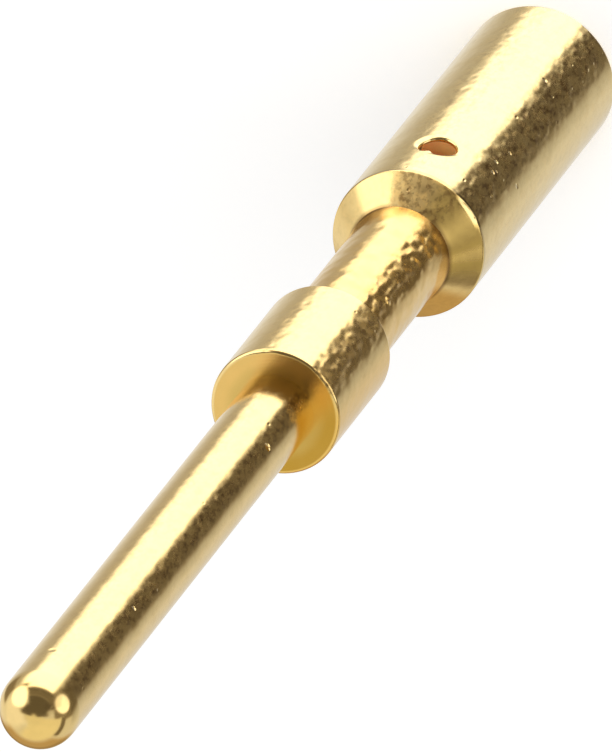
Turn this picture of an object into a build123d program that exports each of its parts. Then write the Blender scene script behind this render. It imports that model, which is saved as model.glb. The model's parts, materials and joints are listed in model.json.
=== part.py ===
"""Turned crimp pin contact of a circular connector.

The contact is one piece, turned from round bar. It stands on the flat end of its crimp barrel: the origin
is the centre of the wire mouth and +Z runs along the axis, up to the tip of the pin. The sight hole faces -Y.
From the mouth up it has a crimp barrel, a shoulder cone, a neck, a locating collar and the contact pin.
"""
from build123d import *
from dataclasses import dataclass
from math import radians, tan
import os

# Driving dimensions in millimetres, from the tip back to the wire mouth
PIN_DIAMETER = 1.00
PIN_LENGTH = 9.65  # from the crown of the tip to the collar's front face
COLLAR_DIAMETER = 1.68
COLLAR_LENGTH = 2.10
NECK_DIAMETER = 1.28
NECK_LENGTH = 2.95  # from the collar's back face to the foot of the shoulder cone
NECK_FLARE_RISE = 0.02  # growth of the neck's radius where it meets the shoulder cone
NECK_FLARE_LENGTH = 0.70
SHOULDER_CONE_LENGTH = 0.36
BARREL_DIAMETER = 2.00
BARREL_LENGTH = 5.50  # from the shoulder's rim to the wire mouth

# Wire bore and sight hole
BORE_DIAMETER = 1.40
DRILL_POINT_ANGLE = 118.0  # degrees across the cone at the bottom of the bore
SIGHT_HOLE_DIAMETER = 0.50
SIGHT_HOLE_SETBACK = 0.90  # from the shoulder's rim to the hole's centre
WIRE_STOP_CLEARANCE = 0.20  # full bore left beyond the sight hole, so that the wire end shows in it

# Edge breaks
MOUTH_CHAMFER = 0.10  # lead-in for the wire
MOUTH_OUTER_RADIUS = 0.06
SHOULDER_RIM_RADIUS = 0.05
SHOULDER_ROOT_RADIUS = 0.10  # inside corner where the cone meets the neck
COLLAR_EDGE_RADIUS = 0.06
PIN_ROOT_RADIUS = 0.03  # inside corner where the pin leaves the collar
SIGHT_HOLE_EDGE_RADIUS = 0.04

# The most of a step, wall or length that an edge break may use up
EDGE_SHARE = 0.45


@dataclass(frozen=True)
class Stations:
    """Heights above the wire mouth at which the outline changes."""

    shoulder_rim: float
    cone_top: float
    flare_top: float
    collar_back: float
    collar_front: float
    dome_start: float
    tip: float


def stations() -> Stations:
    """Stack the driving lengths from the wire mouth up to the tip."""
    shoulder_rim = BARREL_LENGTH
    cone_top = shoulder_rim + SHOULDER_CONE_LENGTH
    collar_back = cone_top + NECK_LENGTH
    collar_front = collar_back + COLLAR_LENGTH
    tip = collar_front + PIN_LENGTH
    return Stations(
        shoulder_rim=shoulder_rim,
        cone_top=cone_top,
        flare_top=cone_top + NECK_FLARE_LENGTH,
        collar_back=collar_back,
        collar_front=collar_front,
        dome_start=tip - PIN_DIAMETER / 2,
        tip=tip,
    )


def edge_radius(wanted: float, *spans: float) -> float:
    """Radius of an edge break, limited by the shortest of the faces that it joins."""
    return min(wanted, EDGE_SHARE * min(spans))


def corner(sketch: Sketch, radius: float, height: float) -> Vertex:
    """The vertex of a half section at this radius and height."""
    return sketch.vertices().sort_by_distance((radius, height, 0))[0]


def blank_section() -> Sketch:
    """Half section of the turned outside: X is the radius and Y the height above the mouth."""
    at = stations()
    pin = PIN_DIAMETER / 2
    collar = COLLAR_DIAMETER / 2
    neck = NECK_DIAMETER / 2
    flare = neck + NECK_FLARE_RISE
    barrel = BARREL_DIAMETER / 2
    with BuildSketch() as section:
        with BuildLine():
            Polyline((0, at.tip), (0, 0), (barrel, 0), (barrel, at.shoulder_rim), (flare, at.cone_top))
            TangentArc((neck, at.flare_top), (flare, at.cone_top), tangent=(0, -1))
            Polyline(
                (neck, at.flare_top),
                (neck, at.collar_back),
                (collar, at.collar_back),
                (collar, at.collar_front),
                (pin, at.collar_front),
                (pin, at.dome_start),
            )
            RadiusArc((pin, at.dome_start), (0, at.tip), -pin)
        make_face()
    return section.sketch


def break_edges(section: Sketch) -> Sketch:
    """Round the corners that the turning tool and the tumbling leave."""
    at = stations()
    pin = PIN_DIAMETER / 2
    collar = COLLAR_DIAMETER / 2
    neck = NECK_DIAMETER / 2
    flare = neck + NECK_FLARE_RISE
    barrel = BARREL_DIAMETER / 2
    mouth_wall = barrel - BORE_DIAMETER / 2
    back_step = collar - neck
    front_step = collar - pin
    corners = (
        (barrel, 0, edge_radius(MOUTH_OUTER_RADIUS, mouth_wall, BARREL_LENGTH)),
        (barrel, at.shoulder_rim, edge_radius(SHOULDER_RIM_RADIUS, SHOULDER_CONE_LENGTH, BARREL_LENGTH)),
        (flare, at.cone_top, edge_radius(SHOULDER_ROOT_RADIUS, SHOULDER_CONE_LENGTH, NECK_FLARE_LENGTH)),
        (collar, at.collar_back, edge_radius(COLLAR_EDGE_RADIUS, back_step, COLLAR_LENGTH)),
        (collar, at.collar_front, edge_radius(COLLAR_EDGE_RADIUS, front_step, COLLAR_LENGTH)),
        (pin, at.collar_front, edge_radius(PIN_ROOT_RADIUS, front_step, PIN_LENGTH)),
    )
    for radius, height, size in corners:
        section = fillet(corner(section, radius, height), size)
    return section


def turned_blank() -> Part:
    """The solid bar turned to its outline."""
    return revolve(Plane.XZ * break_edges(blank_section()), Axis.Z)


def sight_hole_height() -> float:
    """Height of the sight hole's centre above the wire mouth."""
    return BARREL_LENGTH - SIGHT_HOLE_SETBACK


def wire_bore() -> Part:
    """The blind bore for the wire, with its lead-in chamfer and its drill point."""
    bore = BORE_DIAMETER / 2
    full_depth = sight_hole_height() + SIGHT_HOLE_DIAMETER / 2 + WIRE_STOP_CLEARANCE
    point_depth = full_depth + bore / tan(radians(DRILL_POINT_ANGLE / 2))
    lead_in = edge_radius(MOUTH_CHAMFER, (BARREL_DIAMETER - BORE_DIAMETER) / 2, full_depth)
    with BuildSketch() as section:
        with BuildLine():
            Polyline(
                (0, 0),
                (bore + lead_in, 0),
                (bore, lead_in),
                (bore, full_depth),
                (0, point_depth),
                close=True,
            )
        make_face()
    return revolve(Plane.XZ * section.sketch, Axis.Z)


def sight_hole() -> Part:
    """The drill that opens the sight hole, from the bore's axis out through the -Y wall."""
    start = Plane(origin=(0, 0, sight_hole_height()), x_dir=(1, 0, 0), z_dir=(0, -1, 0))
    return extrude(start * Circle(SIGHT_HOLE_DIAMETER / 2), amount=BARREL_DIAMETER)


def break_sight_hole(contact: Part) -> Part:
    """Round the outer edge of the sight hole."""
    wall = (BARREL_DIAMETER - BORE_DIAMETER) / 2
    size = edge_radius(SIGHT_HOLE_EDGE_RADIUS, wall, SIGHT_HOLE_DIAMETER)
    outer_edge = contact.edges().sort_by_distance((0, -BARREL_DIAMETER / 2, sight_hole_height()))[0]
    return fillet(outer_edge, size)


def pin_contact() -> Part:
    """The finished contact."""
    contact = turned_blank() - wire_bore() - sight_hole()
    return break_sight_hole(contact)


def main() -> None:
    """Write the contact as one STEP file."""
    os.makedirs("parts", exist_ok=True)
    export_step(pin_contact(), "parts/pin_contact.step")


if __name__ == "__main__":
    main()
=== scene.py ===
import json
import logging
from dataclasses import dataclass, field
from enum import Enum
from math import ceil, cos, pi, radians, sin, tan
from typing import Any, Callable, Optional, Sequence, Union

import bpy
import numpy as np
from mathutils import Matrix, Vector


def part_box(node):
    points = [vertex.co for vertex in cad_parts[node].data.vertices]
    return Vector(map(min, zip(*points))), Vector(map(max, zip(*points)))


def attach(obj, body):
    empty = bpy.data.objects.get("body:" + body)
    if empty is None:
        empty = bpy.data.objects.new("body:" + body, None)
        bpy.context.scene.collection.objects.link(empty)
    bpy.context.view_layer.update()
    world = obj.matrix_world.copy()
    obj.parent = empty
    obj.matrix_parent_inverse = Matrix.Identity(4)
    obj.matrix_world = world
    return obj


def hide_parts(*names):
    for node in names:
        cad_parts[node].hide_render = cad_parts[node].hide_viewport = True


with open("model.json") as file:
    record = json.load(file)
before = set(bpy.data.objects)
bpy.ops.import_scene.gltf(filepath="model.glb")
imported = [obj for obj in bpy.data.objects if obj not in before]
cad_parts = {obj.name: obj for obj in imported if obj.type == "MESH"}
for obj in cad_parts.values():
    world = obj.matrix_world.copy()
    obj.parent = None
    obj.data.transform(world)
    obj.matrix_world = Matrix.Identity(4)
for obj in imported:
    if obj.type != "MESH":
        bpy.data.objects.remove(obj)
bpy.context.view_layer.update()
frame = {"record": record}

LOG = logging.getLogger("contact")
MM = 0.001
NODE = "pin_contact"
IMAGE_SIZE = (612, 752)
SAME_POINT = 1e-9
WHITE = (1.0, 1.0, 1.0, 1.0)


def mount(name: str) -> dict[str, Any]:
    """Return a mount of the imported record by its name, with its sizes under dims."""
    return next(m for m in frame["record"]["mounts"] if m["name"] == name)


# Shader trees written as expressions


class Signal:
    """A value, vector or colour in a shader tree. Arithmetic on a value adds its Math nodes."""

    def __init__(self, tree: "Tree", socket: bpy.types.NodeSocket) -> None:
        """Wrap an output socket of a tree."""
        self.tree = tree
        self.socket = socket

    def _math(self, operation: str, first: "Value", second: "Value") -> "Signal":
        """Return the result of a new Math node of two values."""
        return self.tree.node("ShaderNodeMath", {"operation": operation}, {0: first, 1: second})

    def __add__(self, other: "Value") -> "Signal":
        """Return self + other."""
        return self._math("ADD", self, other)

    def __radd__(self, other: "Value") -> "Signal":
        """Return other + self."""
        return self._math("ADD", other, self)

    def __sub__(self, other: "Value") -> "Signal":
        """Return self - other."""
        return self._math("SUBTRACT", self, other)

    def __rsub__(self, other: "Value") -> "Signal":
        """Return other - self."""
        return self._math("SUBTRACT", other, self)

    def __mul__(self, other: "Value") -> "Signal":
        """Return self * other."""
        return self._math("MULTIPLY", self, other)

    def __rmul__(self, other: "Value") -> "Signal":
        """Return other * self."""
        return self._math("MULTIPLY", other, self)

    def __pow__(self, other: "Value") -> "Signal":
        """Return self to the power of other."""
        return self._math("POWER", self, other)


Value = Union[Signal, float]


class Tree:
    """A shader node tree that is filled by one method."""

    def __init__(self, owner: Union[bpy.types.Material, bpy.types.World]) -> None:
        """Empty the node tree of a material or world.

        Args:
            owner: the material or world.
        """
        owner.use_nodes = True
        self.nodes = owner.node_tree.nodes
        self.links = owner.node_tree.links
        self.nodes.clear()

    def node(
        self,
        kind: str,
        settings: Optional[dict[str, Any]] = None,
        inputs: Optional[dict[Union[int, str], Any]] = None,
        output: Union[int, str] = 0,
    ) -> Signal:
        """Add a node.

        Args:
            kind: the node's type.
            settings: properties of the node, set before its sockets.
            inputs: a value or a Signal for each socket, by number or name.
            output: the output socket that is wanted, by number or name.

        Returns:
            That output.
        """
        made = self.nodes.new(kind)
        for name, value in (settings or {}).items():
            setattr(made, name, value)
        for key, value in (inputs or {}).items():
            if isinstance(value, Signal):
                self.links.new(value.socket, made.inputs[key])
            else:
                made.inputs[key].default_value = value
        return Signal(self, made.outputs[output]) if len(made.outputs) else Signal(self, made.inputs[0])

    def smooth_step(self, value: Value, low: float, high: float) -> Signal:
        """Rise smoothly from 0 to 1 as a value goes from low to high.

        Args:
            value: the value.
            low: where the rise starts.
            high: where it ends; below low, the result falls instead.

        Returns:
            The share from 0 to 1.
        """
        falls = high < low
        rise = self.node(
            "ShaderNodeMapRange",
            {"interpolation_type": "SMOOTHSTEP"},
            {"Value": value, "From Min": min(low, high), "From Max": max(low, high)},
        )
        return 1.0 - rise if falls else rise

    def mix(self, share: Value, first: Value, second: Value) -> Signal:
        """Blend two values by a share from 0 to 1."""
        return self.node("ShaderNodeMix", {"data_type": "FLOAT"}, {0: share, 2: first, 3: second})

    def mix_colour(self, share: Value, first: Any, second: Any) -> Signal:
        """Blend two colours by a share from 0 to 1."""
        return self.node("ShaderNodeMix", {"data_type": "RGBA"}, {0: share, 6: first, 7: second}, 2)

    def noise(self, vector: Signal, scale: float, detail: float, roughness: float = 0.5) -> Signal:
        """Return fractal noise from 0 to 1 with so many lumps in a unit."""
        sockets = {"Vector": vector, "Scale": scale, "Detail": detail, "Roughness": roughness}
        return self.node("ShaderNodeTexNoise", {}, sockets)


# Finishes


class Stretch(Enum):
    """Stretches of the contact, from the mouth to the tip, which took the tumbling differently."""

    BARREL = "barrel"
    CONE = "cone"
    NECK = "neck"
    COLLAR = "collar"
    PIN = "pin"


Colour = tuple[float, float, float, float]
Fade = tuple[float, float]


@dataclass(frozen=True)
class Wear:
    """How one stretch took the tumbling: shares of relief and colours, and added roughness."""

    fine: float
    coarse: float
    scuffed: float
    deep_gold: float
    worn_deep_gold: float = 0.0
    tarnished: float = 1.0
    worn_roughness: float = 0.0


WEAR: dict[Stretch, Wear] = {
    Stretch.BARREL: Wear(0.55, 0.40, 0.30, 0.0),
    Stretch.CONE: Wear(0.20, 0.05, 0.0, 0.30),
    Stretch.NECK: Wear(2.05, 1.50, 0.09, 0.60, 0.20, 0.60, 0.05),
    Stretch.COLLAR: Wear(1.45, 1.00, 0.30, 0.12, 0.45, 0.60, 0.07),
    Stretch.PIN: Wear(0.15, 0.05, 0.30, 0.25),
}


@dataclass(frozen=True)
class Side:
    """One side of the contact, in degrees: its azimuth, and how far off the share is still 1 and is 0."""

    azimuth: float
    near: float
    far: float


@dataclass(frozen=True)
class Band:
    """A band along a measure: where its share starts to rise, is 1, starts to fall and is 0."""

    start: float
    full: float
    fading: float
    end: float

    def share(self, tree: Tree, value: Signal, origin: float = 0.0) -> Signal:
        """Return how far a value is inside the band, from 0 to 1, with the band measured from an origin."""
        rising = tree.smooth_step(value, origin + self.start, origin + self.full)
        return rising * tree.smooth_step(value, origin + self.end, origin + self.fading)


@dataclass(frozen=True)
class Ramp:
    """A share that rises along a direction of a plane: the direction, where it starts and is 1."""

    across: float
    up: float
    start: float
    full: float

    def share(self, tree: Tree, across: Signal, up: Signal) -> Signal:
        """Return the share at a place of the plane."""
        return tree.smooth_step(self.across * across + self.up * up, self.start, self.full)


@dataclass(frozen=True)
class Mottle:
    """Patches of one kind, where fractal noise rises between two levels."""

    per_mm: float
    detail: float
    low: float
    high: float
    roughness: float = 0.5

    def share(self, tree: Tree, place: Signal) -> Signal:
        """Return 1 in the patches and 0 between them."""
        noise = tree.noise(place, self.per_mm, self.detail, self.roughness)
        return tree.smooth_step(noise, self.low, self.high)


@dataclass(frozen=True)
class Grain:
    """Relief of one kind: its lumps in a millimetre, and its depth in millimetres."""

    per_mm: float
    depth: float
    detail: float = 0.0

    def relief(self, tree: Tree, place: Signal) -> Signal:
        """Return noise less its mean of a half, times the depth, so that a share fades it evenly."""
        return (tree.noise(place, self.per_mm, self.detail) - 0.5) * self.depth


@dataclass(frozen=True)
class Dent:
    """A small round pit or, with a negative depth, a lump in the plating, in millimetres and degrees."""

    name: str
    radius: float
    height: float
    azimuth: float
    reach: float
    depth: float

    def relief(self, tree: Tree, place: Signal) -> Signal:
        """Find the dent's height over the surface, a smooth step of the distance from its middle.

        Args:
            tree: the material's tree.
            place: the place on the contact.

        Returns:
            The height, below 0 in a pit.
        """
        turn = radians(self.azimuth)
        middle = (self.radius * sin(turn), -self.radius * cos(turn), self.height)
        away = tree.node("ShaderNodeVectorMath", {"operation": "DISTANCE"}, {0: place, 1: middle}, "Value")
        return tree.smooth_step(away, self.reach, 0.0) * -self.depth


class Surface:
    """Places on the contact in millimetres, and its parts as shares from 0 to 1, in the plating's tree.

    Each band and fade is measured from the height or the radius of its part, and a fade goes from where the
    share is 0 to where it is 1. The dome's is in pin radii below the tip, and every stretch has the same
    soft rise and fall at its ends.
    """

    AXIS_GUARD: float = 0.01
    RISE: Fade = (-0.01, 0.01)
    FALL: Fade = (0.01, -0.01)
    GRAIN_STRETCH: float = 0.6
    DOME: Fade = (1.7, 1.0)
    FLARE: Band = Band(-0.06, 0.0, 0.15, 0.45)
    PIN_ROOT: Fade = (0.45, 0.05)
    FACE: Band = Band(-0.015, -0.005, 0.0, 0.008)
    FACE_EDGE: Fade = (0.02, -0.01)
    HOLE_EDGE: Fade = (-0.055, -0.075)
    BORE_TOP: Fade = (0.0, -0.02)

    def __init__(self, tree: Tree, contact: "PinContact") -> None:
        """Read the object coordinates, and find the parts that several looks share.

        Args:
            tree: the material's tree.
            contact: the contact, for the heights and radii where the finish changes.
        """
        self.tree = tree
        self.contact = contact
        metres = {0: tree.node("ShaderNodeTexCoord", output="Object"), "Scale": 1.0 / MM}
        self.place = tree.node("ShaderNodeVectorMath", {"operation": "SCALE"}, metres)
        axes = (tree.node("ShaderNodeSeparateXYZ", {}, {0: self.place}, i) for i in range(3))
        self.x, self.y, self.height = axes
        self.out = (self.x * self.x + self.y * self.y) ** 0.5
        stretched = {0: self.x, 1: self.y, 2: self.height * self.GRAIN_STRETCH}
        self.grain = tree.node("ShaderNodeCombineXYZ", {}, stretched)
        self.neck_foot, self.pin_foot = (contact.span(s)[0] / MM for s in (Stretch.NECK, Stretch.PIN))
        self.hole_height = contact.hole_height / MM

        self.within = {s: self._within(s) for s in Stretch if s is not Stretch.BARREL}
        self.dome = tree.smooth_step(self.height, *((contact.tip - r * contact.pin) / MM for r in self.DOME))
        self.flare = self.FLARE.share(tree, self.height, self.neck_foot)
        self.pin_root = self.fade(self.height, self.pin_foot, self.PIN_ROOT) * self.within[Stretch.PIN]
        flat = (contact.collar - contact.collar_front_round) / MM
        level = self.FACE.share(tree, self.height, self.pin_foot)
        self.face = level * self.fade(self.out, flat, self.FACE_EDGE)
        mouth = contact.mouth_chamfer / MM
        in_wall = self.fade(self.out, contact.barrel / MM, self.HOLE_EDGE)
        in_barrel = self.fade(self.height, contact.barrel_length / MM, self.BORE_TOP)
        self.inside = in_wall * tree.smooth_step(self.height, mouth, 2 * mouth) * in_barrel

    def fade(self, value: Signal, origin: float, ends: Fade) -> Signal:
        """Return the smooth step of a value between two ends that are measured from an origin."""
        return self.tree.smooth_step(value, origin + ends[0], origin + ends[1])

    def _within(self, stretch: Stretch) -> Signal:
        """Return 1 on a stretch and 0 beyond it, with soft ends."""
        low, high = (end / MM for end in self.contact.span(stretch))
        return self.fade(self.height, low, self.RISE) * self.fade(self.height, high, self.FALL)

    def by_stretch(self, share: Callable[[Wear], float]) -> Value:
        """Blend one share of the wear over the stretches.

        Args:
            share: picks the share from a stretch's wear.

        Returns:
            The barrel's share and, on each other stretch, the difference to it.
        """
        barrel = share(WEAR[Stretch.BARREL])
        blend: Value = barrel
        for stretch, within in self.within.items():
            difference = share(WEAR[stretch]) - barrel
            if difference:
                blend = blend + difference * within
        return blend

    def side(self, side: Side) -> Signal:
        """Find one side of the contact, by the cosine of the angle about the axis from the side's middle.

        Args:
            side: the side.

        Returns:
            A share from 0 to 1.
        """
        turn = radians(side.azimuth)
        cosine = (self.x * sin(turn) - self.y * cos(turn)) * (self.out + self.AXIS_GUARD) ** -1.0
        return self.tree.smooth_step(cosine, cos(radians(side.far)), cos(radians(side.near)))

    def by_rim(self, reach: float) -> Signal:
        """Return 1 at the corner of the shoulder's rim, and 0 from so many millimetres away."""
        across, along = self.out - self.contact.barrel / MM, self.height - self.contact.barrel_length / MM
        return self.tree.smooth_step((across * across + along * along) ** 0.5, reach, 0.0)


@dataclass(frozen=True)
class Marks:
    """Shares of wear, and of painted shade on one side of the cone, over the surface that several looks use.
    """

    worn: Signal
    bruised: Signal
    polished: Signal
    # one side of the cone, painted in olive as shade
    olive: Signal
    specks: Signal


@dataclass(frozen=True)
class GoldPlate:
    """Gold plating over tumbled copper alloy: bright, with one worn side, a few pits and a coppery bore.

    The colours carry painted shade too: on one side of the cone, the collar and the collar's face, round the
    pin, in the crease at the neck's root, and in dark lines below the shoulder's rim and at the sight hole's
    edge. The depths and reaches are in millimetres.
    """

    name: str = "gold_plate"
    gold: Colour = (1.0, 0.76, 0.34, 1.0)
    deep_gold: Colour = (0.95, 0.62, 0.20, 1.0)
    face_gold: Colour = (1.0, 0.67, 0.24, 1.0)
    # ochre painted shade on one side of the collar's face
    face_shade_ochre: Colour = (0.65, 0.39, 0.065, 1.0)
    # olive for painted shade on one side of the cone and round the pin, and for faint clouds on the face
    olive_shade_and_clouds: Colour = (0.76, 0.54, 0.17, 1.0)
    # real tarnish in flecks and mottles, and also painted shade in the crease at the neck's root
    tarnish_and_shade: Colour = (0.34, 0.20, 0.07, 1.0)
    # dark colour of the painted shade lines below the shoulder's rim and at the sight hole's edge
    painted_shade: Colour = (0.08, 0.05, 0.02, 1.0)
    bore_copper: Colour = (1.0, 0.66, 0.23, 1.0)
    bore_rust: Colour = (1.0, 0.47, 0.16, 1.0)
    bore_metallic: float = 0.5
    roughness: float = 0.13
    worn_roughness: float = 0.06
    speck_roughness: float = 0.12
    cone_roughness: float = 0.18
    olive_cone_roughness: float = 0.30
    worn_cone_roughness: float = 0.42
    face_roughness: float = 0.24
    bore_roughness: float = 0.9

    worn_side: Side = Side(-46.0, 9.0, 22.0)
    worn_neck: Side = Side(-43.0, 13.0, 26.0)
    worn_cone: Side = Side(-14.0, 20.0, 36.0)
    # the cone's side with painted shade in olive, less a narrow unshaded strip
    shaded_cone_side: Side = Side(-62.0, 30.0, 50.0)
    unshaded_cone_strip: Side = Side(-83.0, 4.0, 12.0)
    # the collar's side with painted shade in deep gold
    shaded_collar_side: Side = Side(-122.0, 34.0, 58.0)
    scuffed_side: Side = Side(8.0, 6.0, 18.0)
    bruised_rim: Side = Side(-49.0, 10.0, 18.0)
    # side of the neck's root left without painted shade
    unshaded_root_side: Side = Side(-11.0, 18.0, 32.0)
    unworn_share: float = 0.12

    fine: Grain = Grain(11.0, 0.0085)
    coarse: Grain = Grain(7.0, 0.020)
    waves: Grain = Grain(2.5, 0.006)
    grooves: Grain = Grain(26.0, 0.0006, 1.0)
    lumpy_neck: float = 0.15
    fine_patches: Mottle = Mottle(1.3, 1.0, 0.36, 0.60)
    fine_patch_share: float = 0.55
    bruise_reach: float = 0.06
    bruise_depth: float = 0.014
    pits_per_mm: float = 7.0
    pit_reach: float = 0.20
    pit_share: float = 0.30
    pit_depth: float = 0.006
    dome_smoothness: float = 0.8
    face_smoothness: float = 0.9
    flare_smoothness: float = 0.7
    pin_root_smoothness: float = 0.75
    rim_smoothness: float = 0.8

    specks: Mottle = Mottle(12.0, 2.0, 0.42, 0.64, 0.6)
    clusters: Mottle = Mottle(2.4, 1.0, 0.38, 0.58)
    flecks: Mottle = Mottle(14.0, 2.0, 0.44, 0.66, 0.65)
    clouds: Mottle = Mottle(3.5, 1.0, 0.42, 0.68)
    mottles: Mottle = Mottle(6.5, 1.0, 0.44, 0.62)
    rust: Mottle = Mottle(7.0, 2.0, 0.42, 0.62)
    lone_specks: float = 0.35
    unworn_specks: float = 0.2
    speck_deep_gold: float = 0.5
    cloud_deep_gold: float = 0.20
    # share of painted shade in deep gold on one side of the collar
    collar_shade_share: float = 0.75
    fleck_tarnish: float = 0.58
    cloud_tarnish: float = 0.12
    mottle_tarnish: float = 0.30
    polished_gold: Fade = (0.3, 0.8)

    # painted shade in the crease at the neck's root
    root_shade: Band = Band(-0.05, 0.0, 0.02, 0.15)
    root_shade_share: float = 0.75
    # painted shade line below the shoulder's rim, darker beside the bruise
    rim_line: Band = Band(-0.070, -0.045, -0.025, 0.0)
    rim_line_edge: Fade = (-0.04, -0.02)
    rim_painted_shade: float = 0.28
    bruise_painted_shade: float = 0.60
    # painted shade line where the sight hole's edge meets its wall
    hole_wall_shade: Band = Band(-0.08, -0.03, -0.01, 0.01)
    hole_wall_shade_fade: float = 0.02
    hole_wall_shade_side: Ramp = Ramp(0.94, 0.34, 0.165, 0.205)
    # painted shade on one side of the sight hole's edge
    hole_edge_shade: Fade = (0.31, 0.29)
    hole_edge_shade_depth: Fade = (-0.80, -0.90)
    hole_edge_shade_side: Ramp = Ramp(-0.57, 0.82, 0.19, 0.24)
    # share of the painted shade at the sight hole's edge
    hole_painted_shade: float = 0.8
    # painted shade on the collar's face: ochre on one side, olive round the pin
    face_shade_side: Ramp = Ramp(-0.72, 0.69, -0.25, 0.55)
    olive_by_pin: Fade = (0.20, 0.03)
    olive_by_pin_share: float = 0.55
    cloud_olive: float = 0.08
    rusty_side: Fade = (-0.15, 0.20)
    rust_share: float = 0.5

    dents: Sequence[Dent] = (
        Dent("pit near the collar", 0.50, 12.480, -52.5, 0.070, 0.030),
        Dent("pit near the tip", 0.50, 17.617, -44.7, 0.042, 0.018),
        Dent("lump on the neck", 0.64, 7.997, -51.4, 0.070, -0.020),
        Dent("scuff by the tip", 0.50, 19.445, 12.0, 0.075, 0.005),
        Dent("pit by the shoulder", 1.00, 4.170, -42.0, 0.040, 0.012),
        Dent("pit on the barrel", 1.00, 3.746, -46.1, 0.036, 0.013),
        Dent("hooked pit on the barrel", 1.00, 4.412, -44.9, 0.040, 0.014),
        Dent("hook of that pit", 1.00, 4.330, -46.6, 0.030, 0.010),
        Dent("pit beside the dark side", 1.00, 3.993, -67.4, 0.045, 0.012),
        Dent("pit low on the barrel", 1.00, 1.771, -32.9, 0.045, 0.012),
    )

    def material(self, contact: "PinContact") -> bpy.types.Material:
        """Build the plating's material.

        Args:
            contact: the contact that wears it.

        Returns:
            The material.
        """
        made = bpy.data.materials.new(self.name)
        tree = Tree(made)
        at = Surface(tree, contact)
        marks = self._marks(at)
        sockets = {
            "Base Color": self._colour(at, marks),
            "Metallic": tree.mix(at.inside, 1.0, self.bore_metallic),
            "Roughness": self._rough(at, marks),
            "Normal": self._bump(at, marks),
        }
        shader = tree.node("ShaderNodeBsdfPrincipled", {}, sockets)
        tree.node("ShaderNodeOutputMaterial", {}, {"Surface": shader})
        return made

    def _marks(self, at: Surface) -> Marks:
        """Find the wear that several looks use.

        Args:
            at: the places on the contact.

        Returns:
            Its shares.
        """
        worn = at.tree.mix(at.within[Stretch.NECK], at.side(self.worn_side), at.side(self.worn_neck))
        worn = at.tree.mix(at.within[Stretch.CONE], worn, at.side(self.worn_cone))
        scuffed = at.by_stretch(lambda wear: wear.scuffed) * at.side(self.scuffed_side)
        worn = self.unworn_share + (1.0 - self.unworn_share) * worn + scuffed
        clustered = self.lone_specks + (1.0 - self.lone_specks) * self.clusters.share(at.tree, at.place)
        specks = self.specks.share(at.tree, at.grain) * clustered
        specks = specks * (self.unworn_specks + (1.0 - self.unworn_specks) * worn)
        bruised = at.side(self.bruised_rim)
        return Marks(
            worn=worn,
            bruised=bruised,
            polished=at.by_rim(2 * self.bruise_reach) * bruised,
            # painted shade on one side of the cone
            olive=at.side(self.shaded_cone_side) * (1.0 - at.side(self.unshaded_cone_strip)),
            specks=specks * (1.0 - self.dome_smoothness * at.dome),
        )

    def _bump(self, at: Surface, marks: Marks) -> Signal:
        """Shape the surface: grain and pits where it is worn, waves, grooves, a bruised rim and dents.

        Args:
            at: the places on the contact.
            marks: the wear.

        Returns:
            The bumped normal.
        """
        tree = at.tree
        fine = at.by_stretch(lambda wear: wear.fine)
        fine = fine + self.fine_patch_share * self.fine_patches.share(tree, at.place)
        coarse = at.by_stretch(lambda wear: wear.coarse)
        lumpy = marks.worn + self.lumpy_neck * at.within[Stretch.NECK]
        relief = self.fine.relief(tree, at.grain) * fine * marks.worn
        relief = relief + self.coarse.relief(tree, at.grain) * coarse * lumpy
        relief = relief - self._pits(tree, at.grain) * marks.worn * self.pit_depth
        relief = relief + self.waves.relief(tree, at.place)
        smoothed = (
            (self.dome_smoothness, at.dome),
            (self.face_smoothness, at.face),
            (1.0, at.inside),
            (self.flare_smoothness, at.flare),
            (self.pin_root_smoothness, at.pin_root),
            (self.rim_smoothness, marks.polished),
        )
        for smoothness, part in smoothed:
            relief = relief * (1.0 - smoothness * part)
        outwards = tree.node("ShaderNodeCombineXYZ", {}, {0: at.out})
        relief = relief + self.grooves.relief(tree, outwards) * at.face
        relief = relief - at.by_rim(self.bruise_reach) * marks.bruised * self.bruise_depth
        for dent in self.dents:
            relief = relief + dent.relief(tree, at.place)
        return tree.node("ShaderNodeBump", {}, {"Strength": 1.0, "Distance": 1.0, "Height": relief * MM})

    def _pits(self, tree: Tree, place: Signal) -> Signal:
        """Find small round pits at scattered points, each a smooth step of the distance to its point.

        Args:
            tree: the material's tree.
            place: the place on the contact.

        Returns:
            A share from 0 to 1, which is 1 in the middle of a pit.
        """
        settings = {"feature": "F1"}
        sockets = {"Vector": place, "Scale": self.pits_per_mm}
        near = tree.node("ShaderNodeTexVoronoi", settings, sockets)
        luck = tree.node("ShaderNodeTexVoronoi", settings, sockets, "Color")
        luck = tree.node("ShaderNodeSeparateColor", {}, {0: luck})
        chosen = tree.node("ShaderNodeMath", {"operation": "LESS_THAN"}, {0: luck, 1: self.pit_share})
        return tree.smooth_step(near, self.pit_reach, 0.0) * chosen

    def _colour(self, at: Surface, marks: Marks) -> Signal:
        """Colour the outside, the collar's face, the bore and the sight hole's edge.

        Args:
            at: the places on the contact.
            marks: the wear.

        Returns:
            The colour.
        """
        tree = at.tree
        # several mixes below paint shade into the colour: sides of the cone and collar, creases, and dark
        # lines at edges
        clouds = self.clouds.share(tree, at.place)
        colour = tree.mix_colour(self.speck_deep_gold * marks.specks, self.gold, self.deep_gold)
        deeper = at.by_stretch(lambda wear: wear.deep_gold)
        deeper = deeper + at.by_stretch(lambda wear: wear.worn_deep_gold) * marks.worn
        deeper = deeper + self.cloud_deep_gold * clouds * at.within[Stretch.NECK]
        # painted shade: one side of the collar deeper gold
        deeper = deeper + self.collar_shade_share * at.side(self.shaded_collar_side) * at.within[Stretch.COLLAR]
        colour = tree.mix_colour(deeper, colour, self.deep_gold)
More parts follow.
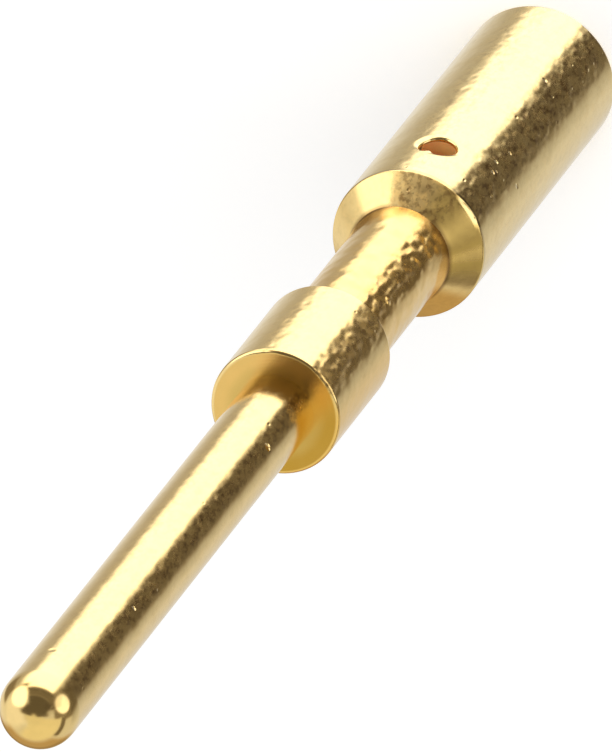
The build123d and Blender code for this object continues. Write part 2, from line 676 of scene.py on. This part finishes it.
        # painted shade: one side of the cone olive
        colour = tree.mix_colour(marks.olive * at.within[Stretch.CONE], colour, self.olive_shade_and_clouds)

        flecks = self.flecks.share(tree, at.grain) * marks.worn * (1.0 - at.dome) * (1.0 - at.inside)
        mottles = self.mottles.share(tree, at.grain) * (1.0 - at.inside)
        tarnished = marks.worn * (self.cloud_tarnish * clouds + self.mottle_tarnish * mottles)
        tarnished = (self.fleck_tarnish * flecks + tarnished) * at.by_stretch(lambda wear: wear.tarnished)
        colour = tree.mix_colour(tarnished, colour, self.tarnish_and_shade)
        colour = tree.mix_colour(tree.smooth_step(marks.polished, *self.polished_gold), colour, self.gold)

        # painted shade: a dark line just below the shoulder's rim
        colour = tree.mix_colour(self._rim_line(at, marks), colour, self.painted_shade)
        # painted shade in the crease at the neck's root
        root_shaded = self.root_shade.share(tree, at.height, at.neck_foot) * (1.0 - at.side(self.unshaded_root_side))
        colour = tree.mix_colour(self.root_shade_share * root_shaded, colour, self.tarnish_and_shade)
        colour = tree.mix_colour(at.face, colour, self._face_colour(at, clouds))
        rust = self.rust_share * self.rust.share(tree, at.place)
        rust = rust + (1.0 - self.rust_share) * tree.smooth_step(at.x, *self.rusty_side)
        bore = tree.mix_colour(rust, self.bore_copper, self.bore_rust)
        colour = tree.mix_colour(at.inside, colour, bore)
        # painted shade at the sight hole's edge: where it meets its wall, and on one side of it
        colour = tree.mix_colour(self.hole_painted_shade * self._hole_wall_shade(at), colour, self.painted_shade)
        return tree.mix_colour(self.hole_painted_shade * self._hole_edge_shade(at), colour, self.painted_shade)

    def _face_colour(self, at: Surface, clouds: Signal) -> Signal:
        """Colour the collar's face: golden, with painted shade in ochre on one side and in olive round the
        pin.

        Args:
            at: the places on the contact.
            clouds: large soft patches.

        Returns:
            The colour.
        """
        # painted shade: ochre on one side of the face
        ochre = self.face_shade_side.share(at.tree, at.x, at.y)
        colour = at.tree.mix_colour(ochre, self.face_gold, self.face_shade_ochre)
        # painted shade: olive in the corner round the pin, with faint olive clouds
        by_pin = at.fade(at.out, at.contact.pin / MM, self.olive_by_pin)
        olive = self.cloud_olive * clouds + self.olive_by_pin_share * by_pin
        return at.tree.mix_colour(olive, colour, self.olive_shade_and_clouds)

    def _rim_line(self, at: Surface, marks: Marks) -> Signal:
        """Find the painted shade line round the barrel just below the shoulder's rim, darker beside the
        bruise.

        Args:
            at: the places on the contact.
            marks: the wear.

        Returns:
            A share from 0 to 1.
        """
        line = self.rim_line.share(at.tree, at.height, at.contact.barrel_length / MM)
        line = line * at.fade(at.out, at.contact.barrel / MM, self.rim_line_edge)
        return line * (self.rim_painted_shade + self.bruise_painted_shade * marks.bruised)

    def _hole_wall_shade(self, at: Surface) -> Signal:
        """Find the painted shade line on one side, where the sight hole's edge meets its wall.

        Args:
            at: the places on the contact.

        Returns:
            A share from 0 to 1.
        """
        wall = (at.contact.barrel - at.contact.hole_sink) / MM
        near = (at.contact.sight_hole + 2 * at.contact.hole_round) / MM
        beside = Band(-near, self.hole_wall_shade_fade - near, near - self.hole_wall_shade_fade, near)
        line = beside.share(at.tree, at.height, at.hole_height) * self.hole_wall_shade.share(at.tree, at.out, wall)
        return line * self.hole_wall_shade_side.share(at.tree, at.x, at.height - at.hole_height)

    def _hole_edge_shade(self, at: Surface) -> Signal:
        """Find the painted shade on one side of the sight hole's edge.

        Args:
            at: the places on the contact.

        Returns:
            A share from 0 to 1.
        """
        up = at.height - at.hole_height
        ring = at.tree.smooth_step((at.x * at.x + up * up) ** 0.5, *self.hole_edge_shade)
        ring = ring * at.tree.smooth_step(at.y, *self.hole_edge_shade_depth)
        return ring * self.hole_edge_shade_side.share(at.tree, at.x, up)

    def _rough(self, at: Surface, marks: Marks) -> Signal:
        """Roughen the worn side and its specks, and give the cone, the face and the bore their own finish.

        Args:
            at: the places on the contact.
            marks: the wear.

        Returns:
            The roughness.
        """
        tree = at.tree
        cone = tree.mix(marks.olive, self.cone_roughness, self.olive_cone_roughness)
        cone = tree.mix(at.side(self.worn_cone), cone, self.worn_cone_roughness)
        rough = tree.mix(at.within[Stretch.CONE], self.roughness + self.worn_roughness * marks.worn, cone)
        rough = rough + self.speck_roughness * marks.specks
        rough = rough + at.by_stretch(lambda wear: wear.worn_roughness) * marks.worn
        rough = tree.mix(marks.polished, rough, self.roughness)
        rough = tree.mix(at.face, rough, self.face_roughness)
        return tree.mix(at.inside, rough, self.bore_roughness)


# The turned contact


@dataclass(frozen=True)
class Corner:
    """A corner of a turned outline: its place, the arc that rounds it and the rows on the run before it."""

    radius: float
    height: float
    round: float = 0.0
    rows: int = 0


@dataclass
class TurnedOutline:
    """A half section, from the crown of the drill point, down the bore, up the outside and to the tip.

    Each corner is replaced by an arc that touches both of its runs. A run is divided evenly, with one short
    step at each end, so that smooth shading stays flat on it.
    """

    corners: Sequence[Corner]
    longest_row: float = 0.16 * MM
    short_row: float = 0.012 * MM
    longest_ease: float = 0.2
    arc_step: float = radians(9)
    fewest_arc_steps: int = 3

    def _arc(self, before: np.ndarray, at: np.ndarray, after: np.ndarray, size: float) -> np.ndarray:
        """Points of the arc that rounds one corner.

        The arc's centre lies on the bisector, at size / sin(half the corner's angle) from the corner. The
        points turn evenly about it, from the touch on the first run to the touch on the second.

        Args:
            before: the corner before.
            at: the corner.
            after: the corner after.
            size: the arc's radius.

        Returns:
            The points, as an array of radius and height.
        """
        back = (before - at) / np.linalg.norm(before - at)
        on = (after - at) / np.linalg.norm(after - at)
        half = np.arccos(np.clip(back @ on, -1, 1)) / 2
        middle = at + (back + on) / np.linalg.norm(back + on) * size / sin(half)
        start = at + back * size / tan(half) - middle
        end = at + on * size / tan(half) - middle
        turn = pi - 2 * half
        share = np.linspace(0, 1, max(self.fewest_arc_steps, ceil(turn / self.arc_step)) + 1)[:, None]
        return middle + (np.sin((1 - share) * turn) * start + np.sin(share * turn) * end) / sin(turn)

    def _run(self, start: np.ndarray, end: np.ndarray, rows: int) -> np.ndarray:
        """Points between the ends of a straight run, without the ends themselves.

        Args:
            start: the run's first point.
            end: the run's last point.
            rows: how many rows divide it, or 0 to work it out from the longest row.

        Returns:
            The points, as an array of radius and height.
        """
        length = float(np.linalg.norm(end - start))
        if rows:
            share = np.linspace(0, 1, rows + 1)[1:-1]
        else:
            ease = min(self.short_row / length, self.longest_ease)
            share = np.linspace(ease, 1 - ease, max(1, ceil(length / self.longest_row)) + 1)
        return start + share[:, None] * (end - start)

    def points(self) -> np.ndarray:
        """Lay the arcs and runs in order.

        Returns:
            The outline, as an array of radius and height. Its first and last points are on the axis.
        """
        places = [np.array((c.radius, c.height)) for c in self.corners]
        laid = [places[0][None]]
        for i, corner in enumerate(self.corners[1:], 1):
            here = places[i][None]
            if corner.round:
                after = places[i + 1] if i + 1 < len(places) else None
                here = self._arc(places[i - 1], places[i], after, corner.round)
            laid.append(self._run(laid[-1][-1], here[0], corner.rows))
            laid.append(here)
        outline = np.vstack(laid)
        keep = np.r_[True, np.linalg.norm(np.diff(outline, axis=0), axis=1) > SAME_POINT]
        return outline[keep]


@dataclass
class PinContact:
    """The contact: crimp barrel with wire bore and sight hole, shoulder, neck, collar and pin.

    The radii of the mounts come from the frame, and the other sizes repeat the turned part's own.
    """

    plating: GoldPlate = field(default_factory=GoldPlate)
    columns: int = 192
    hole_columns: int = 28
    outer_rings: int = 8
    outer_ring_spread: float = 1.2
    edge_rings: int = 7
    wall_rings: int = 6
    inner_rings: int = 4

    tip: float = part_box(NODE)[1].z
    pin: float = mount("contact_pin")["dims"]["r_mm"] * MM
    collar: float = mount("locating_collar")["dims"]["r_mm"] * MM
    barrel: float = mount("crimp_barrel")["dims"]["r_mm"] * MM
    bore: float = mount("wire_bore")["dims"]["r_mm"] * MM
    neck: float = 0.64 * MM
    flare_rise: float = 0.02 * MM
    flare_length: float = 0.70 * MM
    flare_arc_share: float = 0.85
    barrel_length: float = 5.50 * MM
    cone_length: float = 0.36 * MM
    neck_length: float = 2.95 * MM
    collar_length: float = 2.10 * MM
    sight_hole: float = 0.25 * MM
    sight_hole_setback: float = 0.90 * MM
    wire_stop_clearance: float = 0.20 * MM
    drill_point_angle: float = radians(118)
    mouth_chamfer: float = 0.10 * MM
    mouth_round: float = 0.06 * MM
    rim_round: float = 0.05 * MM
    root_round: float = 0.0
    collar_back_round: float = 0.06 * MM
    collar_front_round: float = 0.05 * MM
    pin_root_round: float = 0.0
    hole_round: float = 0.04 * MM
    hole_sink: float = 0.06 * MM
    countersink: float = 0.07 * MM
    countersink_turn: float = radians(-14)
    countersink_width: float = radians(52)
    patch_half: float = 0.42 * MM
    burr_depth: float = 0.07 * MM
    burr_turn: float = radians(78)
    burr_width: float = radians(13)
    lip_share: float = 0.5
    dome_share: float = 0.9999
    sharp_angle: float = radians(33)

    @property
    def hole_height(self) -> float:
        """Height of the sight hole's centre above the mouth."""
        return self.barrel_length - self.sight_hole_setback

    def span(self, stretch: Stretch) -> tuple[float, float]:
        """Return the heights between which a stretch of the contact lies."""
        cone_top = self.barrel_length + self.cone_length
        collar_back = cone_top + self.neck_length
        ends = (0.0, self.barrel_length, cone_top, collar_back, collar_back + self.collar_length, self.tip)
        order = list(Stretch).index(stretch)
        return ends[order], ends[order + 1]

    def outline(self) -> np.ndarray:
        """Half section of the contact, bore first.

        Returns:
            The outline, as an array of radius and height.
        """
        full_depth = self.hole_height + self.sight_hole + self.wire_stop_clearance
        point = full_depth + self.bore / tan(self.drill_point_angle / 2)
        cone_top, collar_back = self.span(Stretch.NECK)
        collar_front = self.span(Stretch.COLLAR)[1]
        flare_bend = cone_top + self.flare_length / 2
        flare_arc = (self.flare_length**2 + self.flare_rise**2) / (2 * self.flare_rise)
        low, high = self.hole_height - self.patch_half, self.hole_height + self.patch_half
        corners = (
            Corner(0, point),
            Corner(self.bore, full_depth),
            Corner(self.bore, high),
            Corner(self.bore, low, rows=self.hole_columns),
            Corner(self.bore, self.mouth_chamfer),
            Corner(self.bore + self.mouth_chamfer, 0),
            Corner(self.barrel, 0, self.mouth_round),
            Corner(self.barrel, low),
            Corner(self.barrel, high, rows=self.hole_columns),
            Corner(self.barrel, self.barrel_length, self.rim_round),
            Corner(self.neck + self.flare_rise, cone_top, self.root_round),
            Corner(self.neck, flare_bend, flare_arc * self.flare_arc_share),
            Corner(self.neck, collar_back),
            Corner(self.collar, collar_back, self.collar_back_round),
            Corner(self.collar, collar_front, self.collar_front_round),
            Corner(self.pin, collar_front, self.pin_root_round),
            Corner(self.pin, self.tip, self.pin * self.dome_share),
            Corner(0, self.tip),
        )
        return TurnedOutline(corners).points()

    def _rows_at(self, outline: np.ndarray, radius: float) -> tuple[int, int]:
        """Rows of a wall that bound the sight hole's patch.

        Args:
            outline: the half section.
            radius: the wall's radius.

        Returns:
            The row at the patch's lower edge and the row at its upper edge.
        """
        on_wall = np.isclose(outline[:, 0], radius, atol=SAME_POINT)
        edges = self.hole_height + self.patch_half * np.array((-1, 1))
        low, high = (int(np.argmin(np.where(on_wall, abs(outline[:, 1] - z), 1.0))) for z in edges)
        return low, high

    def _hole_rings(self, rim: np.ndarray) -> np.ndarray:
        """Lay rings of points from the barrel's outside, over the rounded edge and down to the bore.

        Each ring has a point for each point of the patch's rim, at the same angle about the hole's axis. On
        the cylinders a ring blends the rim's rectangle with the hole's circle, and over the edge it sinks
        along a quarter ellipse. One side is countersunk wider, and a burr stands into the hole at another,
        both by a bell curve of the angle that fades down the wall.

        Args:
            rim: x and z of the outer patch's rim about the hole's centre, one row a point.

        Returns:
            Rings by points by coordinates.
        """
        angle = np.arctan2(rim[:, 1], rim[:, 0])
        circle = np.stack((np.cos(angle), np.sin(angle)), axis=1)
        burr = self.burr_depth * np.exp(-(((angle - self.burr_turn) / self.burr_width) ** 2))[:, None]
        wide = np.exp(-(((angle - self.countersink_turn) / self.countersink_width) ** 2))[:, None]
        broken = self.hole_round + self.countersink * wide
        sink = self.hole_round + (self.hole_sink - self.hole_round) * wide
        lip = burr + self.lip_share * self.countersink * wide
        edge = self.sight_hole - lip + broken

        blend = np.linspace(1, 0, self.outer_rings + 1)[1:, None, None] ** self.outer_ring_spread
        outer = self._on_cylinder(blend * rim + (1 - blend) * circle * edge, self.barrel)

        turn = np.linspace(0, pi / 2, self.edge_rings + 1)[1:, None, None]
        over = self._on_cylinder(circle * (edge - broken * np.sin(turn)), self.barrel)
        over[..., 2:] += sink * (1 - np.cos(turn))

        floor = self._on_cylinder(circle * self.sight_hole, self.bore)
        through = np.linspace(0, 1, self.wall_rings + 1)[1:, None, None]
        wall_y = over[-1, :, 2:] + through * (floor[:, 2:] - over[-1, :, 2:])
        wall = circle * (self.sight_hole - lip * (1 - through) ** 2)
        wall = np.concatenate((wall, wall_y), axis=2)

        inner_rim = rim * np.array((self.bore / self.barrel, 1.0))
        spread = np.linspace(0, 1, self.inner_rings + 2)[1:-1, None, None]
        inner = self._on_cylinder((1 - spread) * floor[:, :2] + spread * inner_rim, self.bore)

        rings = np.concatenate((outer, over, wall, inner))
        return np.stack((rings[..., 0], rings[..., 2], rings[..., 1] + self.hole_height), axis=2)

    @staticmethod
    def _on_cylinder(points: np.ndarray, radius: float) -> np.ndarray:
        """Add y, minus the square root of radius squared less x squared, to points of x and z."""
        return np.concatenate((points, -np.sqrt(radius**2 - points[..., :1] ** 2)), axis=-1)

    def mesh(self) -> bpy.types.Mesh:
        """Turn the outline about Z and open the sight hole in it.

        A point of the turned grid is at radius times cosine and sine of its column's angle. The grid's
        rectangles about the sight hole, on the barrel and in the bore, are left out, and rings of points
        join the two openings.

        Returns:
            The closed mesh, with its faces pointing outwards.
        """
        outline = self.outline()
        count = self.hole_columns
        step = 2 * pi / self.columns
        angle = -pi / 2 + (np.arange(self.columns) - count / 2) * step
        body = outline[1:-1]
        rows = len(body)
        level = np.broadcast_to(body[:, 1:], (rows, self.columns))
        grid = np.stack((body[:, :1] * np.cos(angle), body[:, :1] * np.sin(angle), level), axis=2)
        grid = grid.reshape(-1, 3)
        index = np.arange(rows * self.columns).reshape(rows, self.columns)

        outer_low, outer_high = self._rows_at(body, self.barrel)
        inner_low, inner_high = self._rows_at(body, self.bore)
        keep = np.ones((rows - 1, self.columns), bool)
        keep[outer_low:outer_high, :count] = False
        keep[inner_high:inner_low, :count] = False
        ahead = np.roll(index, -1, axis=1)
        quads = np.stack((index[:-1], ahead[:-1], ahead[1:], index[1:]), axis=2)[keep]

        outer_rim = self._loop(index[outer_low : outer_high + 1, : count + 1])
        inner_rim = self._loop(index[inner_high : inner_low + 1, : count + 1][::-1])
        rim = grid[outer_rim][:, (0, 2)] - np.array((0, self.hole_height))
        rings = self._hole_rings(rim)
        ring_index = len(grid) + np.arange(rings.shape[0] * rings.shape[1]).reshape(rings.shape[:2])
        ladder = np.vstack((outer_rim, ring_index, inner_rim))
        along = np.roll(ladder, -1, axis=1)
        hole_quads = np.stack((ladder[:-1], along[:-1], along[1:], ladder[1:]), axis=2).reshape(-1, 4)

        poles = np.array(((0, 0, outline[0, 1]), (0, 0, outline[-1, 1])))
        points = np.vstack((grid, rings.reshape(-1, 3), poles))
        first, last = len(points) - 2, len(points) - 1
        crown = np.stack((np.full(self.columns, first), ahead[0], index[0]), axis=1)
        tip = np.stack((np.full(self.columns, last), index[-1], ahead[-1]), axis=1)
        fans = np.vstack((crown, tip))
        return self._filled(points, np.vstack((quads, hole_quads)), fans)

    @staticmethod
    def _loop(block: np.ndarray) -> np.ndarray:
        """Indices round the edge of a block: along its first row, up its last column, and back."""
        return np.concatenate((block[0, :-1], block[:-1, -1], block[-1, :0:-1], block[:0:-1, 0]))

    def _filled(self, points: np.ndarray, quads: np.ndarray, fans: np.ndarray) -> bpy.types.Mesh:
        """Put points, four-sided faces and the two end fans into a mesh, without the unused points.

        Args:
            points: coordinates.
            quads: four indices a face.
            fans: three indices a face.

        Returns:
            The mesh, smooth but for its sharp corners.
        """
        used, renumbered = np.unique(np.concatenate((quads.ravel(), fans.ravel())), return_inverse=True)
        points = points[used]
        four = renumbered[: quads.size].reshape(-1, 4)
        three = renumbered[quads.size :].reshape(-1, 3)
        mesh = bpy.data.meshes.new(NODE)
        mesh.vertices.add(len(points))
        mesh.vertices.foreach_set("co", points.ravel())
        corners = np.concatenate((four.ravel(), three.ravel()))
        mesh.loops.add(len(corners))
        mesh.loops.foreach_set("vertex_index", corners)
        sizes = np.concatenate((np.full(len(four), 4), np.full(len(three), 3)))
        mesh.polygons.add(len(sizes))
        mesh.polygons.foreach_set("loop_start", np.concatenate(((0,), np.cumsum(sizes)[:-1])))
        mesh.update(calc_edges=True)
        mesh.validate()
        mesh.shade_smooth()
        mesh.set_sharp_from_angle(angle=self.sharp_angle)
        return mesh

    def build(self) -> bpy.types.Object:
        """Make the contact, hang it on the root body and hide the imported part.

        Returns:
            The contact's object.
        """
        piece = bpy.data.objects.new("contact_body", self.mesh())
        bpy.context.scene.collection.objects.link(piece)
        piece.data.materials.append(self.plating.material(self))
        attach(piece, "root")
        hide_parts(NODE)
        LOG.info("%s: %d faces", piece.name, len(piece.data.polygons))
        return piece


# The studio


class Shape(Enum):
    """Outlines of a studio panel."""

    SQUARE = "square"
    ROUND = "round"


@dataclass(frozen=True)
class Panel:
    """A light or dark panel of the studio, by the directions in which the contact sees it.

    Angles are in degrees. Azimuth 0 is the side that the room faces, and elevation is above the horizon.
    Each edge fades over its own width: left, right, bottom and top. A round panel fades by the first alone.
    """

    name: str
    tone: float
    azimuth: tuple[float, float]
    elevation: tuple[float, float]
    fade: tuple[float, float, float, float] = (8.0, 8.0, 8.0, 8.0)
    tint: Colour = WHITE
    shape: Shape = Shape.SQUARE

    def share(self, tree: Tree, bearing: Signal, rise: Signal) -> Signal:
        """How much of a direction the panel fills.

        A square panel is the product of a smooth step for each edge. A round one is a smooth step of the
        distance from its middle, which is 1 on the ellipse between its four limits.

        Args:
            tree: the world's tree.
            bearing: the direction's azimuth in radians.
            rise: its elevation in radians.

        Returns:
            A share from 0 to 1.
        """
        left, right, bottom, top = (radians(width) / 2 for width in self.fade)
        first, last = (radians(angle) for angle in self.azimuth)
        low, high = (radians(angle) for angle in self.elevation)
        half = (last - first) / 2
        tall = (high - low) / 2
        from_middle = bearing - (first + last) / 2
        off = tree.node("ShaderNodeMath", {"operation": "WRAP"}, {0: from_middle, 1: pi, 2: -pi})
        if self.shape is Shape.ROUND:
            across = off * (1 / half)
            up = (rise - (low + high) / 2) * (1 / tall)
            away = (across * across + up * up) ** 0.5
            return tree.smooth_step(away, 1 + left / half, 1 - left / half)
        inside = tree.smooth_step(rise, low - bottom, low + bottom)
        inside = inside * tree.smooth_step(rise, high + top, high - top)
        if half < pi:
            inside = inside * tree.smooth_step(off, -half - left, -half + left)
            inside = inside * tree.smooth_step(off, half + right, half - right)
        return inside


NEUTRAL: Colour = (1.0, 1.0, 0.98, 1.0)
WARM: Colour = (1.0, 0.86, 0.66, 1.0)
OCHRE: Colour = (1.0, 0.75, 0.42, 1.0)
STRAW: Colour = (1.0, 0.95, 0.72, 1.0)


@dataclass
class Studio:
    """A pale floor and a white room, with soft light and dark panels that only the metal reflects."""

    facing: float = radians(-29)
    room_tone: float = 0.70
    floor_light: float = 0.6
    backdrop_light: float = 1.0
    floor_colour: Colour = (0.9, 0.9, 0.9, 1.0)
    floor_glow: float = 0.30
    floor_reach: float = 1.0
    lamp_size: float = 0.22
    lamp_watts: float = 0.35
    lamp_place: tuple[float, float, float] = (-0.10, -0.12, 0.30)
    panels: Sequence[Panel] = (
        Panel("warm ceiling", 0.84, (-180, -66), (10, 100), (20, 14, 16, 8), STRAW),
        Panel("pale ceiling", 0.93, (112, 166), (-4, 62), (10, 26, 12, 20), NEUTRAL),
        Panel("high ceiling", 0.79, (-180, 180), (66, 100), (0, 0, 18, 8), STRAW),
        Panel("pale foot", 0.84, (144, 200), (-89, -46), (26, 30, 10, 12), NEUTRAL),
        Panel("ochre wall", 0.50, (160, 238), (-42, 6), (18, 14, 14, 26), OCHRE),
        Panel("ochre foot", 0.36, (160, 228), (-50, -27), (18, 14, 12, 16), (1.0, 0.72, 0.34, 1.0)),
        Panel("back softbox", 0.85, (124, 158), (-48, -2), (10, 18, 14, 14), NEUTRAL),
        Panel("olive strip", 0.16, (-114, -66), (-2, 11), (8, 8, 6, 6), WARM),
        Panel("grey wall", 0.46, (-88, -60), (-89, -24), (38, 10, 12, 12), NEUTRAL),
        Panel("brown wall", 0.49, (84, 122), (-89, -14), (10, 40, 12, 12), (1.0, 0.96, 0.89, 1.0)),
        Panel("brown corner", 0.24, (98, 130), (-44, -10), (10, 10, 12, 8), WARM),
        Panel("camera wall", 0.12, (-33, 62), (29, 62), (12, 12, 8, 12), WARM),
        Panel("camera wall's head", 0.12, (-56, 118), (50, 84), (14, 16, 14, 12), WARM),
        Panel("camera shelf", 0.18, (-66, 66), (17, 30), (10, 8, 8, 8), WARM),
        Panel("camera sill", 0.15, (-62, 92), (-2, 19), (8, 8, 8, 5), WARM),
        Panel("window frame", 0.22, (-66, -6), (-32, 32), (10, 10, 8, 10), WARM),
        Panel("window foot", 0.22, (-74, -50), (-26, 4), (8, 10, 8, 8), WARM),
        Panel("black flag", 0.15, (-70, -10), (-89, -22), (20, 10, 8, 10), WARM),
        Panel("large softbox", 2.0, (-2, 77), (-89, 4), (10, 22, 8, 8)),
        Panel("dark gap", 0.30, (62, 96), (-10, 1), (14, 10, 8, 6), WARM),
        Panel("small softbox", 1.5, (-59, -15), (-25, 23), (5, 5, 5, 5), shape=Shape.ROUND),
        Panel("tall softbox", 1.8, (62, 113), (-8, 50), (9, 8, 8, 8), shape=Shape.ROUND),
    )

    def world(self) -> bpy.types.World:
        """Light the room: white to the camera, even to the floor, with the panels for the metal.

        A direction's azimuth is the arctangent of its part across the room over its part along it, and its
        elevation is the arcsine of its upward part.

        Returns:
            The world.
        """
        made = bpy.data.worlds.new("studio")
        tree = Tree(made)
        ray = tree.node("ShaderNodeTexCoord", output="Generated")
        x, y, z = (tree.node("ShaderNodeSeparateXYZ", {}, {0: ray}, i) for i in range(3))
        along = x * sin(self.facing) - y * cos(self.facing)
        across = x * cos(self.facing) + y * sin(self.facing)
        bearing = tree.node("ShaderNodeMath", {"operation": "ARCTAN2"}, {0: across, 1: along})
        rise = tree.node("ShaderNodeMath", {"operation": "ARCSINE"}, {0: z})
        tone: Value = self.room_tone
        tint: Any = NEUTRAL
        for panel in self.panels:
            share = panel.share(tree, bearing, rise)
            tone = tree.mix(share, tone, panel.tone)
            tint = tree.mix_colour(share, tint, panel.tint)
        paths = ("Is Camera Ray", "Is Transmission Ray", "Is Glossy Ray")
        to_camera, through_glass, to_metal = (tree.node("ShaderNodeLightPath", output=p) for p in paths)
        plain = tree.mix(to_camera + through_glass, self.floor_light, self.backdrop_light)
        strength = tree.mix(to_metal, plain, tone)
        colour = tree.mix_colour(to_metal, WHITE, tint)
        light = tree.node("ShaderNodeBackground", {}, {"Color": colour, "Strength": strength})
        tree.node("ShaderNodeOutputWorld", {}, {"Surface": light})
        return made

    def floor(self) -> bpy.types.Object:
        """Lay the pale floor.

        Returns:
            The floor's object.
        """
        reach = self.floor_reach
        corners = [(-reach, -reach, 0), (reach, -reach, 0), (reach, reach, 0), (-reach, reach, 0)]
        mesh = bpy.data.meshes.new("floor")
        mesh.from_pydata(corners, [], [(0, 1, 2, 3)])
        floor = bpy.data.objects.new("floor", mesh)
        bpy.context.scene.collection.objects.link(floor)
        made = bpy.data.materials.new("pale_floor")
        tree = Tree(made)
        matt = tree.node("ShaderNodeBsdfDiffuse", {}, {"Color": self.floor_colour})
        to_camera = tree.node("ShaderNodeLightPath", output="Is Camera Ray")
        glow = {"Color": WHITE, "Strength": self.floor_glow * to_camera}
        glow = tree.node("ShaderNodeEmission", {}, glow)
        both = tree.node("ShaderNodeAddShader", {}, {0: matt, 1: glow})
        tree.node("ShaderNodeOutputMaterial", {}, {"Surface": both})
        mesh.materials.append(made)
        floor.visible_glossy = False
        return floor

    def lamp(self) -> bpy.types.Object:
        """Hang the soft lamp that gives the floor its faint shadow.

        Returns:
            The lamp's object.
        """
        data = bpy.data.lights.new("soft_lamp", "AREA")
        data.shape = "DISK"
        data.size = self.lamp_size
        data.energy = self.lamp_watts
        lamp = bpy.data.objects.new("soft_lamp", data)
        bpy.context.scene.collection.objects.link(lamp)
        lamp.location = self.lamp_place
        lamp.rotation_mode = "QUATERNION"
        lamp.rotation_quaternion = (-lamp.location).to_track_quat("-Z", "Y")
        lamp.visible_glossy = False
        return lamp

    def build(self) -> None:
        """Set up the world, the floor and the lamp."""
        bpy.context.scene.world = self.world()
        self.floor()
        self.lamp()
        LOG.info("studio: %d panels", len(self.panels))


@dataclass
class PhotographCamera:
    """The photograph's viewpoint: a long lens that looks steeply down on the tip, rolled far round."""

    azimuth: float = radians(-28.98)
    elevation: float = radians(60.17)
    roll: float = radians(-141.62)
    aim: Vector = field(default_factory=lambda: Vector((-0.0206, 0.0114, 9.716)) * MM)
    distance: float = 338.98 * MM
    focal_pixels: float = 27273.0
    sensor: float = 36.0
    clip: tuple[float, float] = (0.01, 10.0)

    def build(self) -> bpy.types.Object:
        """Place the camera.

        Returns:
            The camera's object.
        """
        flat = cos(self.elevation)
        back = Vector((sin(self.azimuth) * flat, -cos(self.azimuth) * flat, sin(self.elevation)))
        level = Vector((cos(self.azimuth), sin(self.azimuth), 0))
        above = back.cross(level)
        right = level * cos(self.roll) + above * sin(self.roll)
        data = bpy.data.cameras.new("photograph_camera")
        data.sensor_width = self.sensor
        data.lens = self.focal_pixels * self.sensor / max(IMAGE_SIZE)
        data.clip_start, data.clip_end = self.clip
        camera = bpy.data.objects.new("photograph_camera", data)
        bpy.context.scene.collection.objects.link(camera)
        turn = Matrix((right, back.cross(right), back)).transposed().to_4x4()
        camera.matrix_world = Matrix.Translation(self.aim + back * self.distance) @ turn
        bpy.context.scene.camera = camera
        LOG.info("camera: lens %.0f mm at %.0f mm", data.lens, self.distance / MM)
        return camera


def main() -> None:
    """Build the contact, the studio and the camera."""
    logging.basicConfig(level=logging.INFO, format="%(name)s %(message)s")
    bpy.context.scene.view_settings.view_transform = "Standard"
    PinContact().build()
    Studio().build()
    PhotographCamera().build()


if __name__ == "__main__":
    main()
